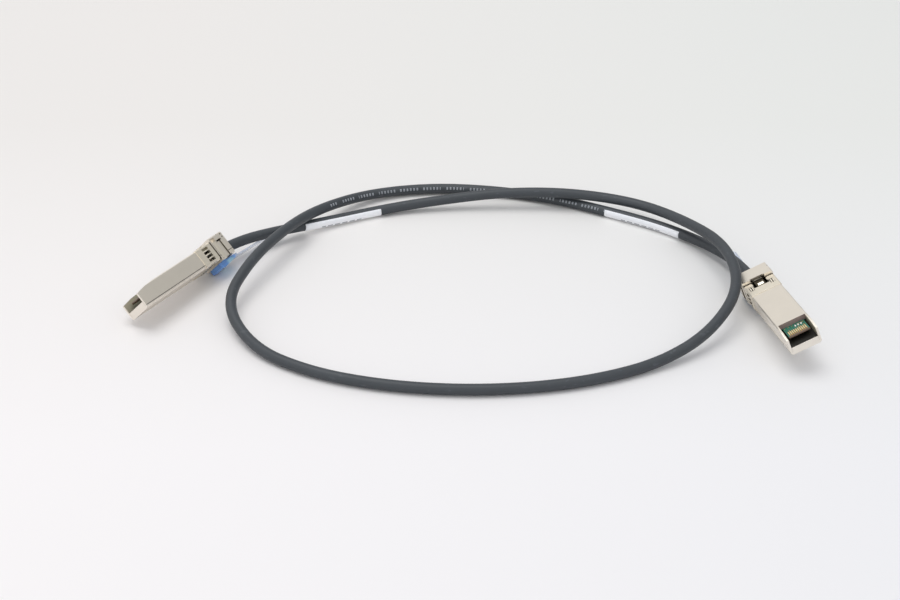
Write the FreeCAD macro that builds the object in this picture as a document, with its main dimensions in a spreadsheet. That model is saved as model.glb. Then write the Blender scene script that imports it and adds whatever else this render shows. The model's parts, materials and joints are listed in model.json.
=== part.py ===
import FreeCAD, Part
import math
import os

import Sketcher

# Direct attach copper cable: a twinax cable with a small form-factor plug at each end.
#
# Row frame: X along the table from the left plug to the right one, Z up, table at Z = 0,
# origin under the middle of the two plugs.
# Plug frame, shared by every piece of a plug: X from the mouth (0) towards the cable,
# Y across, Z from the latch side (0) to the hood side.  All lengths in millimetres.

SIZES = {
    # nose, which enters the cage
    "plug_width": 13.4,
    "plug_height": 8.5,
    "cage_length": 47.6,
    "wall": 0.9,
    "floor_thick": 0.9,
    "cover_thick": 1.1,
    "edge_bevel": 0.4,
    "cover_bevel": 0.8,
    "seam_bevel": 0.25,
    "seam_gap": 0.05,
    # block, which stays outside the cage
    "block_length": 8.4,
    "block_width": 14.0,
    "block_below": 1.6,
    "block_above": 1.1,
    "block_bevel": 0.6,
    "rear_wall": 2.6,
    # mouth
    "opening_length": 10.4,
    "mouth_wall": 1.2,
    "hood_thick": 3.25,
    "hood_length": 9.4,
    "skirt_drop": 1.3,
    "skirt_knee": 0.35,
    # paddle card
    "card_bottom": 2.25,
    "card_thick": 1.0,
    "card_shoulder": 0.9,
    "card_nose_length": 7.6,
    "card_play": 0.3,
    "card_setback": 3.2,
    "card_end_setback": 11.6,
    "card_bevel": 0.3,
    "trough_margin": 1.0,
    # contact pads on the card
    "pad_pitch": 0.8,
    "pad_width": 0.5,
    "pad_length": 3.2,
    "pad_thick": 0.05,
    "pad_setback": 0.5,
    "pad_count": 10,
    # parts soldered to the card
    "chip_length": 3.0,
    "chip_width": 3.9,
    "chip_height": 0.9,
    "chip_at": 20.0,
    "capacitor_length": 1.0,
    "capacitor_width": 0.6,
    "capacitor_height": 0.5,
    "capacitor_gap": 1.0,
    "capacitor_pitch": 1.25,
    # spring-finger collar
    "collar_length": 9.1,
    "collar_setback": 0.6,
    "collar_wall": 0.2,
    "window_setback": 6.4,
    "window_length": 3.6,
    "window_margin": 0.35,
    "recess_depth": 1.0,
    "finger_width": 0.55,
    "finger_pitch": 1.8,
    "finger_rise": 0.45,
    "finger_flat": 1.2,
    # latch
    "pocket_reach": 8.6,
    "pocket_depth": 7.0,
    "pocket_width": 6.3,
    "pocket_roof": 1.75,
    "pocket_lip": 0.45,
    "pocket_floor": 0.85,
    "pocket_mouth_end": 0.7,
    "lever_width": 4.0,
    "lever_reach": 5.7,
    "lever_gap": 0.2,
    "lever_tail": 4.8,
    "lever_under": 0.1,
    "lever_thick": 0.75,
    "boss_width": 2.6,
    "boss_height": 0.45,
    "boss_ramp": 1.7,
    "shoulder_setback": 2.6,
    "pivot_setback": 1.4,
    "pivot_height": 0.55,
    "pin_radius": 0.4,
    "pin_clearance": 0.03,
    "pin_seat": 1.0,
    "hub_radius": 0.7,
    "ramp_setback": 2.1,
    "ramp_length": 2.5,
    "ramp_rise": 0.63,
    "leaf_thick": 0.12,
    "leaf_width": 2.4,
    "leaf_setback": 0.6,
    "leaf_overlap": 1.2,
    "leaf_clearance": 0.02,
    # release slide
    "travel": 2.5,
    "slide_clearance": 0.2,
    "slide_setback": 0.8,
    "strip_length": 3.0,
    "slide_thick": 0.5,
    "arm_length": 2.0,
    "groove_depth": 0.55,
    "well_depth": 1.6,
    "well_length": 2.4,
    "well_drop": 1.5,
    "foot_length": 1.1,
    "foot_under": 1.0,
    "foot_gap": 2.4,
    "foot_play": 0.1,
    # pull tab
    "grip_reach": 1.4,
    "grip_length": 11.5,
    "grip_width": 8.0,
    "grip_thick": 2.8,
    "grip_lift": 0.15,
    "grip_crest": 1.6,
    "grip_taper": 1.4,
    "grip_shoulder": 0.8,
    "strap_width": 5.0,
    "strap_thick": 0.8,
    "strap_length": 32.0,
    "strap_round": 2.2,
    "strap_lift": 0.6,
    "strap_root": 1.5,
    "left_strap_angle": 1.6,
    "right_strap_angle": -6.8,
    # cover screws
    "screw_radius": 0.5,
    "screw_head_radius": 0.75,
    "screw_head_depth": 0.45,
    "screw_length": 4.0,
    "screw_margin": 1.7,
    "screw_inset": 0.95,
    # cable and what is on it
    "cable_radius": 2.3,
    "gland_cover": 0.15,
    "cable_lead": 15.0,
    "crimp_wall": 0.3,
    "wire_radius": 0.55,
    "wire_pitch": 1.2,
    "wire_overlap": 5.0,
    "wire_count": 4,
    "label_length": 38.0,
    "label_wall": 0.15,
    "left_label_at": 49.0,
    "right_label_at": 53.0,
    # where the plugs lie
    "left_x": -138.27,
    "left_y": -18.26,
    "left_z": 13.59,
    "left_heading": 58.12,
    "left_pitch": 2.41,
    "left_roll": 132.35,
    "right_x": 132.4,
    "right_y": -50.75,
    "right_z": 19.41,
    "right_heading": 100.83,
    "right_pitch": 7.66,
    "right_roll": 158.34,
}

# Places and widths that follow from the sizes above, so that pieces move and grow together.
TIES = {
    "parting": "plug_height - cover_thick",
    "half_width": "plug_width / 2",
    "half_block": "block_width / 2",
    "inner_width": "plug_width - 2 * wall",
    "total_length": "cage_length + block_length",
    "rear_face": "total_length - rear_wall",
    "block_top": "plug_height + block_above",
    "block_bottom": "0 - block_below",
    "card_width": "inner_width - 2 * card_play",
    "card_nose_width": "card_width - 2 * card_shoulder",
    "card_end": "cage_length - card_end_setback",
    "trough_end": "card_end + trough_margin",
    "capacitor_at": "card_setback + pad_setback + pad_length + capacitor_gap",
    "collar_end": "cage_length - collar_setback",
    "collar_start": "collar_end - collar_length",
    "window_start": "cage_length - window_setback",
    "window_end": "window_start + window_length",
    "pocket_start": "cage_length - pocket_reach",
    "pocket_end": "cage_length + pocket_depth",
    "pivot_at": "cage_length + pivot_setback",
    "lever_front": "pivot_at - lever_reach",
    "lever_back": "pivot_at + lever_tail",
    "lever_top": "lever_under + lever_thick",
    "shoulder_at": "cage_length - shoulder_setback",
    "ramp_start": "pivot_at + ramp_setback",
    "ramp_end": "ramp_start + ramp_length",
    "leaf_start": "pocket_start + leaf_setback",
    "leaf_touch": "lever_front + leaf_overlap",
    "slide_front": "cage_length + slide_setback",
    "foot_front": "ramp_start - foot_length",
    "slot_start": "foot_front - 2 * slide_clearance",
    "slot_end": "foot_front + foot_length + travel + slide_clearance",
    "groove_start": "slide_front - slide_clearance",
    "groove_end": "slide_front + arm_length + travel + slide_clearance",
    "recess_end": "slide_front + strip_length + travel + slide_clearance",
    "screw_offset": "half_block - screw_margin",
    "cable_height": "parting - gland_cover - crimp_wall - cable_radius",
    "wire_start": "card_end - wire_overlap",
    "wire_height": "card_bottom + card_thick + wire_radius",
}

# Route of the cable between the two plugs, in the order it runs from the left plug.
ROUTE = [
    (-85.1, 46.6, 7.2),
    (-61.6, 61.6, 3.1),
    (-34.1, 72.1, 2.5),
    (-5.6, 77.1, 5.4),
    (22.9, 78.6, 9.0),
    (51.9, 77.6, 8.6),
    (80.4, 70.6, 6.4),
    (99.9, 49.1, 9.7),
    (113.4, 18.6, 16.0),
    (115.4, -10.8, 13.8),
    (100.2, -33.0, 7.3),
    (78.4, -47.9, 2.5),
    (51.9, -59.9, 2.5),
    (23.9, -65.4, 2.5),
    (-5.1, -66.4, 2.5),
    (-34.1, -62.9, 2.5),
    (-61.6, -54.4, 2.5),
    (-85.6, -37.9, 2.8),
    (-100.6, -12.4, 6.7),
    (-91.1, 15.6, 12.2),
    (-77.6, 41.1, 12.5),
    (-64.6, 66.6, 7.8),
    (-43.6, 86.1, 3.0),
    (-14.6, 91.6, 2.5),
    (14.4, 88.6, 2.5),
    (41.9, 80.1, 2.5),
    (67.9, 67.6, 2.5),
    (92.4, 52.6, 2.6),
    (112.9, 34.1, 3.4),
]

SIDES = ("left", "right")
BEYOND = "1"  # how far a cut runs past the surface it opens
ARC_SHARE = 0.45  # share of the shorter run that an arc of the cable takes

doc = FreeCAD.newDocument("direct_attach_cable")
sheet = doc.addObject("Spreadsheet::Sheet", "Sizes")
sheet_rows = [(size_name, str(size_value)) for size_name, size_value in SIZES.items()]
sheet_rows += [(tie_name, "=" + tie_text) for tie_name, tie_text in TIES.items()]
for row, (row_name, row_text) in enumerate(sheet_rows, start=1):
    sheet.set("A%d" % row, row_name)
    sheet.set("B%d" % row, row_text)
    sheet.setAlias("B%d" % row, row_name)
    doc.recompute()
doc.recompute()

def size(name):
    """A size from the sheet, as a number."""
    return float(sheet.get(name))


def bound(text):
    """An expression in size names, written the way the sheet reads it."""
    return " ".join("Sizes." + word if word in SIZES or word in TIES else word for word in text.split())


def plug_frame(side):
    """Placement of a plug's frame in the row frame."""
    turn = FreeCAD.Rotation(size(side + "_heading"), size(side + "_pitch"), size(side + "_roll"))
    place = FreeCAD.Vector(size(side + "_x"), size(side + "_y"), size(side + "_z"))
    return FreeCAD.Placement(place, turn)


def new_body(side, name):
    body = doc.addObject("PartDesign::Body", side + "_" + name)
    body.AllowCompound = True
    body.Placement = plug_frame(side)
    return body


def sketch_on(body, plane, offset="0"):
    """An empty sketch on one of the body's own origin planes, moved along its normal."""
    sketch = body.newObject("Sketcher::SketchObject", "Outline")
    support = [item for item in body.Origin.OriginFeatures if item.Role == plane + "_Plane"]
    sketch.AttachmentSupport = [(support[0], "")]
    sketch.MapMode = "FlatFace"
    sketch.setExpression("AttachmentOffset.Base.z", bound(offset))
    return sketch


def pin_point(sketch, line, place):
    """Ties the start of a line, or the centre of a circle, to two expressions."""
    corner = 1 if isinstance(sketch.Geometry[line], Part.LineSegment) else 3
    for kind, text in zip(("DistanceX", "DistanceY"), place):
        index = sketch.addConstraint(Sketcher.Constraint(kind, -1, 1, line, corner, 1.0))
        sketch.setExpression("Constraints[%d]" % index, bound(text))


def add_outline(sketch, corners):
    """A closed outline of straight lines through corners given as pairs of expressions."""
    first = sketch.GeometryCount
    step = 2 * math.pi / len(corners)
    rim = [FreeCAD.Vector(math.cos(i * step), math.sin(i * step), 0) for i in range(len(corners))]
    for start, end in zip(rim, rim[1:] + rim[:1]):
        sketch.addGeometry(Part.LineSegment(start, end))
    for i in range(len(corners)):
        following = first + (i + 1) % len(corners)
        sketch.addConstraint(Sketcher.Constraint("Coincident", first + i, 2, following, 1))
    for i, place in enumerate(corners):
        pin_point(sketch, first + i, place)


def box_outline(low_x, high_x, low_y, high_y):
    return [(low_x, low_y), (high_x, low_y), (high_x, high_y), (low_x, high_y)]


def add_circle(sketch, centre, radius):
    middle = FreeCAD.Vector(0, 0, 0)
    index = sketch.addGeometry(Part.Circle(middle, FreeCAD.Vector(0, 0, 1), 1.0))
    pin_point(sketch, index, centre)
    rule = sketch.addConstraint(Sketcher.Constraint("Radius", index, 1.0))
    sketch.setExpression("Constraints[%d]" % rule, bound(radius))


def extrude(body, kind, sketch, length, centred=False, reverse=False):
    """A pad or a pocket of a sketch."""
    feature = body.newObject("PartDesign::" + kind, kind)
    feature.Profile = sketch
    feature.Midplane = centred
    feature.Reversed = reverse
    feature.setExpression("Length", bound(length))
    return feature


def side_view(body, kind, corners, width):
    """Pad or pocket of an outline in the plug's side view (X, Z), centred across the plug."""
    sketch = sketch_on(body, "XZ")
    add_outline(sketch, corners)
    return extrude(body, kind, sketch, width, centred=True)


def end_view(body, kind, corners, start, length):
    """Pad or pocket of an outline in the plug's end view (Y, Z), from start towards the cable."""
    sketch = sketch_on(body, "YZ", start)
    add_outline(sketch, corners)
    return extrude(body, kind, sketch, length, reverse=kind == "Pocket")


def repeat(body, feature, axis, count, spacing):
    """Copies of a feature in a row along one of the body's own axes."""
    pattern = body.newObject("PartDesign::LinearPattern", "Row")
    line = [item for item in body.Origin.OriginFeatures if item.Role == axis + "_Axis"]
    pattern.Originals = [feature]
    pattern.Direction = (line[0], [""])
    pattern.Mode = "Spacing"
    pattern.setExpression("Offset", bound(spacing))
    if isinstance(count, str):
        pattern.setExpression("Occurrences", bound(count))
    else:
        pattern.Occurrences = count
    body.Tip = pattern
    return pattern


def bevelled_section(half, low, high, low_bevel=None, high_bevel=None):
    """End view of a bar whose lower or upper long edges may be bevelled, each by its own size."""
    if low_bevel:
        inset = half + " - " + low_bevel
        corners = [("0 - ( " + inset + " )", low), (inset, low), (half, low + " + " + low_bevel)]
        closing = [("0 - " + half, low + " + " + low_bevel)]
    else:
        corners = [(half, low)]
        closing = [("0 - " + half, low)]
    if high_bevel:
        inset = half + " - " + high_bevel
        corners += [(half, high + " - " + high_bevel), (inset, high), ("0 - ( " + inset + " )", high)]
        corners += [("0 - " + half, high + " - " + high_bevel)]
    else:
        corners += [(half, high), ("0 - " + half, high)]
    return corners + closing


def cut_grooves(body, low, high):
    """Grooves in both flanks of the block, in which the arms of the release slide run."""
    sketch = sketch_on(body, "XY", low)
    for sign in ("", "0 - "):
        inner = sign + "( half_block - groove_depth )"
        outer = sign + "( half_block + " + BEYOND + " )"
        add_outline(sketch, box_outline("groove_start", "groove_end", inner, outer))
    extrude(body, "Pocket", sketch, high + " - ( " + low + " ) + " + BEYOND, reverse=True)


def cut_arm_wells(body):
    """Wells in both flanks of the block, below the arms, through which the slide's feet are seen."""
    sketch = sketch_on(body, "XY", "foot_under - slide_clearance - well_drop")
    for sign in ("", "0 - "):
        inner = sign + "( half_block - well_depth )"
        outer = sign + "( half_block + " + BEYOND + " )"
        add_outline(sketch, box_outline("groove_start", "groove_start + well_length", inner, outer))
    extrude(body, "Pocket", sketch, "well_drop", reverse=True)


def cut_finger_recess(body, low, high):
    """Shallow troughs in both flanks, into which the spring fingers of the collar can give."""
    sketch = sketch_on(body, "XY", low)
    for sign in ("", "0 - "):
        inner = sign + "( half_width - recess_depth )"
        outer = sign + "( half_width + " + BEYOND + " )"
        add_outline(sketch, box_outline("window_start", "window_end", inner, outer))
    extrude(body, "Pocket", sketch, high + " - ( " + low + " )", reverse=True)


def screw_places():
    return [("total_length - screw_inset", sign + "screw_offset") for sign in ("", "0 - ")]


def drill_screw_holes(body, low, radius, high):
    """Two screw holes along Z, from low up to high."""
    sketch = sketch_on(body, "XY", high)
    for place in screw_places():
        add_circle(sketch, place, radius)
    extrude(body, "Pocket", sketch, high + " - ( " + low + " )")


def make_shell(side):
    """Die-cast lower shell: nose with its skirts, block, latch pocket and rear wall."""
    body = new_body(side, "plug_shell")
    nose = bevelled_section("half_width", "0", "parting", "edge_bevel", "seam_bevel")
    end_view(body, "Pad", nose, "0", "cage_length")
    block = bevelled_section("half_block", "block_bottom", "parting", "edge_bevel", "seam_bevel")
    end_view(body, "Pad", block, "cage_length", "block_length")
    above = "parting + " + BEYOND
    cavity = box_outline("0 - " + BEYOND, "rear_face", "card_bottom", above)
    side_view(body, "Pocket", cavity, "inner_width")
    trough = box_outline("opening_length + mouth_wall", "trough_end", "floor_thick", above)
    side_view(body, "Pocket", trough, "card_nose_width")
    mouth = box_outline("0 - " + BEYOND, "opening_length", "block_bottom", above)
    side_view(body, "Pocket", mouth, "inner_width")
    skirt = [("0 - " + BEYOND, "skirt_drop"), ("0", "skirt_drop"), ("opening_length / 2", "skirt_knee"),
             ("opening_length", "0"), ("opening_length", "block_bottom"), ("0 - " + BEYOND, "block_bottom")]
    side_view(body, "Pocket", skirt, "plug_width + " + BEYOND)
    beneath = "block_bottom - " + BEYOND
    window = "lever_front - lever_gap"
    window_back = "cage_length + pocket_mouth_end"
    floor = "block_bottom + pocket_floor"
    pocket = [("pocket_start", "pocket_lip"), (window, "pocket_lip"), (window, beneath),
              (window_back, beneath), (window_back, floor), ("pocket_end", floor),
              ("pocket_end", "pocket_roof"), ("pocket_start", "pocket_roof")]
    side_view(body, "Pocket", pocket, "pocket_width")
    slot = box_outline("slot_start", "slot_end", "foot_under - foot_play",
                       "foot_under + slide_thick + foot_play")
    side_view(body, "Pocket", slot, "block_width + " + BEYOND)
    cut_grooves(body, "foot_under - slide_clearance", "parting")
    cut_arm_wells(body)
    cut_finger_recess(body, "window_margin + edge_bevel", "parting")
    bore = sketch_on(body, "XZ")
    add_circle(bore, ("pivot_at", "pivot_height"), "pin_radius")
    extrude(body, "Pocket", bore, "pocket_width + 2 * pin_seat", centred=True)
    gland = sketch_on(body, "YZ", "rear_face - seam_gap")
    add_circle(gland, ("0", "cable_height"), "cable_radius + crimp_wall")
    extrude(body, "Pocket", gland, "rear_wall + " + BEYOND, reverse=True)
    drill_screw_holes(body, "block_top - screw_length", "screw_radius", "parting")
    return body


def make_cover(side):
    """Die-cast cover: lid over the shell, with the thick hood in front over the card."""
    body = new_body(side, "plug_cover")
    nose = bevelled_section("half_width", "parting", "plug_height", None, "cover_bevel")
    end_view(body, "Pad", nose, "0", "cage_length")
    block = bevelled_section("half_block", "parting", "block_top", None, "block_bevel")
    end_view(body, "Pad", block, "cage_length", "block_length")
    hood = box_outline("0", "hood_length", "plug_height - hood_thick", "parting")
    side_view(body, "Pad", hood, "inner_width - 2 * seam_gap")
    recess = box_outline("groove_start", "recess_end", "block_top - slide_thick", "block_top + " + BEYOND)
    side_view(body, "Pocket", recess, "block_width + " + BEYOND)
    cut_grooves(body, "parting - " + BEYOND, "block_top")
    cut_finger_recess(body, "parting - " + BEYOND, "plug_height - window_margin - cover_bevel")
    drill_screw_holes(body, "parting - " + BEYOND, "screw_radius", "block_top")
    drill_screw_holes(body, "block_top - screw_head_depth", "screw_head_radius", "block_top")
    return body


def make_screws(side):
    """Two flat-headed screws that hold the cover down."""
    body = new_body(side, "cover_screws")
    shafts = sketch_on(body, "XY", "block_top - screw_length")
    for place in screw_places():
        add_circle(shafts, place, "screw_radius")
    extrude(body, "Pad", shafts, "screw_length")
    heads = sketch_on(body, "XY", "block_top - screw_head_depth")
    for place in screw_places():
        add_circle(heads, place, "screw_head_radius")
    extrude(body, "Pad", heads, "screw_head_depth")
    return body


def finger_arch(start, surface):
    """Side view of a spring finger that bows out from a surface of the collar."""
    top = surface + " + collar_wall"
    crest = surface + " + finger_rise"
    rise = "( window_length / 2 - finger_flat / 2 )"
    near = start + " + " + rise
    far = start + " + window_length - " + rise
    end = start + " + window_length"
    return [(start, surface), (near, crest), (far, crest), (end, surface),
            (end, top), (far, crest + " + collar_wall"), (near, crest + " + collar_wall"), (start, top)]


def flip(corners):
    """The same outline with its second axis turned over."""
    return [(across, "0 - ( " + up + " )") for across, up in corners]


def make_collar(side):
    """Spring-finger collar: one thin sleeve round the nose, with bowed fingers on all four sides."""
    body = new_body(side, "emi_collar")
    outer = bevelled_section("( half_width + collar_wall )", "( 0 - collar_wall )",
                             "( plug_height + collar_wall )", "edge_bevel", "cover_bevel")
    end_view(body, "Pad", outer, "collar_start", "collar_end - collar_start")
    inner = bevelled_section("half_width", "0", "plug_height", "edge_bevel", "cover_bevel")
    end_view(body, "Pocket", inner, "collar_start - " + BEYOND, "collar_end - collar_start + 2 * " + BEYOND)
    flank = box_outline("window_start", "window_end", "window_margin + edge_bevel",
                        "plug_height - window_margin - cover_bevel")
    side_view(body, "Pocket", flank, "plug_width + 2 * finger_rise + " + BEYOND)
    reach = "( half_width - window_margin - cover_bevel )"
    top = sketch_on(body, "XY", "plug_height - " + BEYOND + " / 2")
    add_outline(top, box_outline("window_start", "window_end", "0 - " + reach, reach))
    extrude(body, "Pocket", top, BEYOND, reverse=True)
    strip = "( pocket_width / 2 + window_margin )"
    under = sketch_on(body, "XY", "0 - " + BEYOND + " / 2")
    mouth = "lever_front - lever_gap - window_margin"
    add_outline(under, box_outline(mouth, "collar_end + " + BEYOND, "0 - " + strip, strip))
    for sign in ("", "0 - "):
        inner_edge = sign + "( " + strip + " + collar_wall )"
        add_outline(under, box_outline("window_start", "window_end", inner_edge, sign + reach))
    extrude(body, "Pocket", under, BEYOND, reverse=True)
    first = "( ( plug_height + edge_bevel - cover_bevel ) / 2 - finger_pitch - finger_width / 2 )"
    sketch = sketch_on(body, "XY", first)
    add_outline(sketch, finger_arch("window_start", "half_width"))
    add_outline(sketch, flip(finger_arch("window_start", "half_width")))
    repeat(body, extrude(body, "Pad", sketch, "finger_width"), "Z", 3, "finger_pitch")
    sketch = sketch_on(body, "XZ", "2.5 * finger_pitch - finger_width / 2")
    add_outline(sketch, finger_arch("window_start", "plug_height"))
    repeat(body, extrude(body, "Pad", sketch, "finger_width"), "Y", 6, "finger_pitch")
    near = "( " + strip + " + 2 * collar_wall )"
    spacing = "finger_width + 2 * collar_wall"
    for place in ("0 - ( " + near + " + finger_width )", near + " + " + spacing):
        sketch = sketch_on(body, "XZ", place)
        add_outline(sketch, flip(finger_arch("window_start", "0")))
        repeat(body, extrude(body, "Pad", sketch, "finger_width"), "Y", 2, spacing)
    return body


def make_card(side):
    """Paddle card: narrow nose between the contacts of the host, wider part on the rails."""
    body = new_body(side, "paddle_card")
    shoulder = "card_setback + card_nose_length"
    sketch = sketch_on(body, "XY", "card_bottom")
    add_outline(sketch, [
        ("card_setback", "0 - card_nose_width / 2"), (shoulder, "0 - card_nose_width / 2"),
        (shoulder, "0 - card_width / 2"), ("card_end", "0 - card_width / 2"),
        ("card_end", "card_width / 2"), (shoulder, "card_width / 2"),
        (shoulder, "card_nose_width / 2"), ("card_setback", "card_nose_width / 2")])
    extrude(body, "Pad", sketch, "card_thick")
    bevel = sketch_on(body, "XZ")
    top = "card_bottom + card_thick"
    back = "card_setback + card_bevel"
    add_outline(bevel, [("card_setback", top), ("card_setback", top + " - card_bevel"), (back, top)])
    add_outline(bevel, [("card_setback", "card_bottom"), (back, "card_bottom"),
                        ("card_setback", "card_bottom + card_bevel")])
    extrude(body, "Pocket", bevel, "card_width", centred=True)
    return body


def make_contacts(side):
    """Gold pads along the front edge of the card, one row on each face."""
    body = new_body(side, "card_contacts")
    first = "0 - ( ( pad_count - 1 ) / 2 * pad_pitch + pad_width / 2 )"
    sketch = sketch_on(body, "YZ", "card_setback + pad_setback")
    add_outline(sketch, box_outline(first, first + " + pad_width",
                                    "card_bottom - pad_thick", "card_bottom"))
    add_outline(sketch, box_outline(first, first + " + pad_width",
                                    "card_bottom + card_thick", "card_bottom + card_thick + pad_thick"))
    repeat(body, extrude(body, "Pad", sketch, "pad_length"), "Y", "pad_count", "pad_pitch")
    return body


def make_card_parts(side):
    """Chip on the hood side of the card and three capacitors beside the contacts."""
    body = new_body(side, "card_parts")
    chip = sketch_on(body, "XY", "card_bottom + card_thick")
    add_outline(chip, box_outline("chip_at", "chip_at + chip_length",
                                  "0 - chip_width / 2", "chip_width / 2"))
    extrude(body, "Pad", chip, "chip_height")
    small = sketch_on(body, "XY", "card_bottom - capacitor_height")
    add_outline(small, box_outline("capacitor_at", "capacitor_at + capacitor_length",
                                   "0", "capacitor_width"))
    repeat(body, extrude(body, "Pad", small, "capacitor_height"), "Y", 3, "capacitor_pitch")
    return body


def make_wires(side):
    """The four conductors from the end of the cable to the card."""
    body = new_body(side, "signal_wires")
    sketch = sketch_on(body, "YZ", "wire_start")
    add_circle(sketch, ("0 - ( wire_count - 1 ) / 2 * wire_pitch", "wire_height"), "wire_radius")
    wire = extrude(body, "Pad", sketch, "rear_face - seam_gap - wire_start")
    repeat(body, wire, "Y", "wire_count", "wire_pitch")
    return body


def make_crimp_ring(side):
    """Ring in the rear wall that grips the jacket."""
    body = new_body(side, "crimp_ring")
    sketch = sketch_on(body, "YZ", "rear_face")
    add_circle(sketch, ("0", "cable_height"), "cable_radius + crimp_wall")
    add_circle(sketch, ("0", "cable_height"), "cable_radius")
    extrude(body, "Pad", sketch, "rear_wall")
    return body


def make_pin(side):
    """Pivot pin of the latch lever, pressed into both walls of the latch pocket."""
    body = new_body(side, "latch_pin")
    sketch = sketch_on(body, "XZ")
    add_circle(sketch, ("pivot_at", "pivot_height"), "pin_radius")
    extrude(body, "Pad", sketch, "pocket_width + 2 * pin_seat", centred=True)
    return body


def make_lever(side):
    """Latch lever: boss in front, pivot in the middle, ramp for the slide's feet at the back."""
    body = new_body(side, "latch_lever")
    crest = "lever_top + ramp_rise"
    bar = [("lever_front", "lever_under"), ("lever_back", "lever_under"), ("lever_back", crest),
           ("ramp_end", crest), ("ramp_start", "lever_top"), ("lever_front", "lever_top")]
    side_view(body, "Pad", bar, "lever_width")
    boss = [("shoulder_at - boss_ramp", "lever_under"), ("shoulder_at - boss_ramp / 4", "0 - boss_height"),
            ("shoulder_at", "0 - boss_height"), ("shoulder_at", "lever_under")]
    side_view(body, "Pad", boss, "boss_width")
    hub = sketch_on(body, "XZ")
    add_circle(hub, ("pivot_at", "pivot_height"), "hub_radius")
    extrude(body, "Pad", hub, "lever_width", centred=True)
    bore = sketch_on(body, "XZ")
    add_circle(bore, ("pivot_at", "pivot_height"), "pin_radius + pin_clearance")
    extrude(body, "Pocket", bore, "lever_width + " + BEYOND, centred=True)
    return body


def make_leaf(side):
    """Leaf spring that presses the front of the lever out of the pocket."""
    body = new_body(side, "latch_spring")
    rest = "lever_top + leaf_clearance"
    lower = "pocket_roof - leaf_thick"
    flat = "leaf_start + 2"
    leaf = [("leaf_start", "pocket_roof"), ("leaf_start", lower), (flat, lower), ("leaf_touch", rest),
            ("leaf_touch + 4 * leaf_thick", rest), ("leaf_touch + 4 * leaf_thick", rest + " + leaf_thick"),
            ("leaf_touch", rest + " + leaf_thick"), (flat, "pocket_roof")]
    side_view(body, "Pad", leaf, "leaf_width")
    return body


def make_slide(side):
    """Release slide: strip across the cover, an arm down each flank, a foot in under each side."""
    body = new_body(side, "release_slide")
    low = "block_top - slide_thick"
    stirrup = bevelled_section("half_block", "foot_under", "block_top", None, "block_bevel")
    end_view(body, "Pad", stirrup, "slide_front", "arm_length")
    inside = "( half_block - slide_thick )"
    hollow = box_outline("0 - " + inside, inside, "0", low)
    end_view(body, "Pocket", hollow, "slide_front - " + BEYOND, "arm_length + 2 * " + BEYOND)
    flat = "( half_block - block_bevel )"
    strip = box_outline("0 - " + flat, flat, low, "block_top")
    end_view(body, "Pad", strip, "slide_front", "strip_length")
    feet = sketch_on(body, "XY", "foot_under")
    for sign in ("", "0 - "):
        add_outline(feet, box_outline("foot_front", "foot_front + foot_length", sign + "foot_gap / 2",
                                      sign + "half_block"))
    extrude(body, "Pad", feet, "slide_thick")
    return body


def make_tab(side):
    """Soft pull tab: a grip moulded onto the slide and a flat strap along the cable."""
    body = new_body(side, "pull_tab")
    front = "( slide_front - grip_reach )"
    back = "( " + front + " + grip_length )"
    step = "( slide_front + strip_length )"
    under = "( block_top + grip_lift )"
    top = "( block_top + grip_thick )"
    grip = [(front, under), ("slide_front", under), ("slide_front", "block_top"), (step, "block_top"),
            (step, under), (back, under), (back, top + " - grip_taper"),
            (front + " + grip_crest", top), (front + " + grip_shoulder / 2", top + " - grip_shoulder / 2"),
            (front, top + " - grip_shoulder")]
    side_view(body, "Pad", grip, "grip_width")
    strap = sketch_on(body, "XY", "block_top + strap_lift")
    tilt = FreeCAD.Rotation(FreeCAD.Vector(0, -1, 0), 1)
    strap.AttachmentOffset = FreeCAD.Placement(FreeCAD.Vector(0, 0, 0), tilt)
    strap.setExpression("AttachmentOffset.Base.x", bound(back + " - strap_root"))
    strap.setExpression("AttachmentOffset.Rotation.Angle", bound(side + "_strap_angle"))
    half = "strap_width / 2"
    corner = "( " + half + " - strap_round )"
    third = "strap_round * ( 1 - cos( 45 ) )"
    outline = [("0", half), ("strap_length - strap_round", half),
               ("strap_length - " + third, half + " - " + third), ("strap_length", corner)]
    outline += flip(outline)[::-1]
    add_outline(strap, outline)
    extrude(body, "Pad", strap, "strap_thick")
    return body


def tube_line(points):
    """Centre line of straight runs joined by tangent arcs, and the radius of every arc."""
    edges = []
    radii = []
    here = points[0]
    for before, corner, after in zip(points, points[1:], points[2:]):
        arriving = corner - before
        leaving = after - corner
        turn = arriving.getAngle(leaving)
        reach = ARC_SHARE * min(arriving.Length, leaving.Length)
        radius = reach / math.tan(turn / 2)
        arriving.normalize()
        leaving.normalize()
        start = corner - arriving * reach
        end = corner + leaving * reach
        inward = leaving - arriving
        inward.normalize()
        middle = corner + inward * (radius / math.cos(turn / 2) - radius)
        edges.append(Part.LineSegment(here, start).toShape())
        edges.append(Part.Arc(start, middle, end).toShape())
        radii.append(radius)
        here = end
    edges.append(Part.LineSegment(here, points[-1]).toShape())
    return edges, radii


def stretch(edges, start, end):
    """The part of a centre line between two distances from its beginning."""
    kept = []
    done = 0
    for edge in edges:
        first = max(start - done, 0)
        last = min(end - done, edge.Length)
        if last > first:
            kept.append(edge.Curve.toShape(edge.getParameterByLength(first),
                                           edge.getParameterByLength(last)))
        done += edge.Length
    return kept


def tube(edges, radius):
    """Round solid of one radius along a centre line."""
    path = Part.Wire(edges)
    start = path.Edges[0].valueAt(path.Edges[0].FirstParameter)
    along = path.Edges[0].tangentAt(path.Edges[0].FirstParameter)
    rim = Part.Wire([Part.makeCircle(radius, start, along)])
    return path.makePipeShell([rim], True, False)


def add_feature(name, shape):
    feature = doc.addObject("Part::Feature", name)
    feature.Shape = shape
    return feature


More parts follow.
